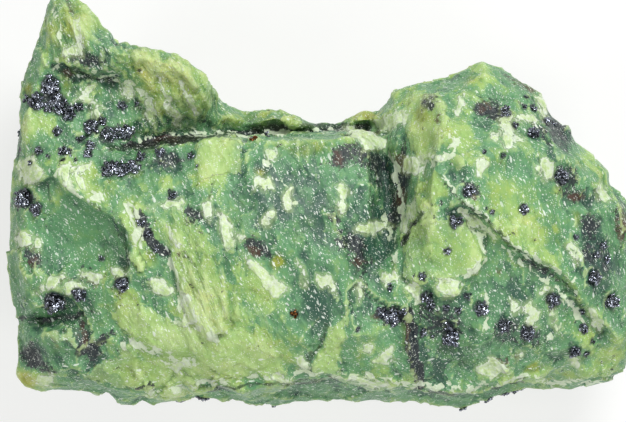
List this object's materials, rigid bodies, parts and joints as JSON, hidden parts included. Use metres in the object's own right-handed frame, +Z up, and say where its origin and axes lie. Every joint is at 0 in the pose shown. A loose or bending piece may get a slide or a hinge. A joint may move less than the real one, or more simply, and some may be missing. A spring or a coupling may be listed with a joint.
{
  "type": "serpentine stone",
  "caption": "Broken hand specimen of green serpentine with black magnetite grains, lying on its flat back.",
  "frame": {"origin": "centre of the bounding box's footprint, at the flat back that the stone rests on", "axes": "+X along the stone's length, +Y towards its winged edge, +Z up out of the broken show side"},
  "size_m": [0.07, 0.0466, 0.0275],
  "materials": {
    "serpentine": "waxy broken green stone, mottled pale and dark, with black metallic grains"
  },
  "bodies": {
    "root": {"serpentine_stone": "serpentine"}
  },
  "joints": []
}
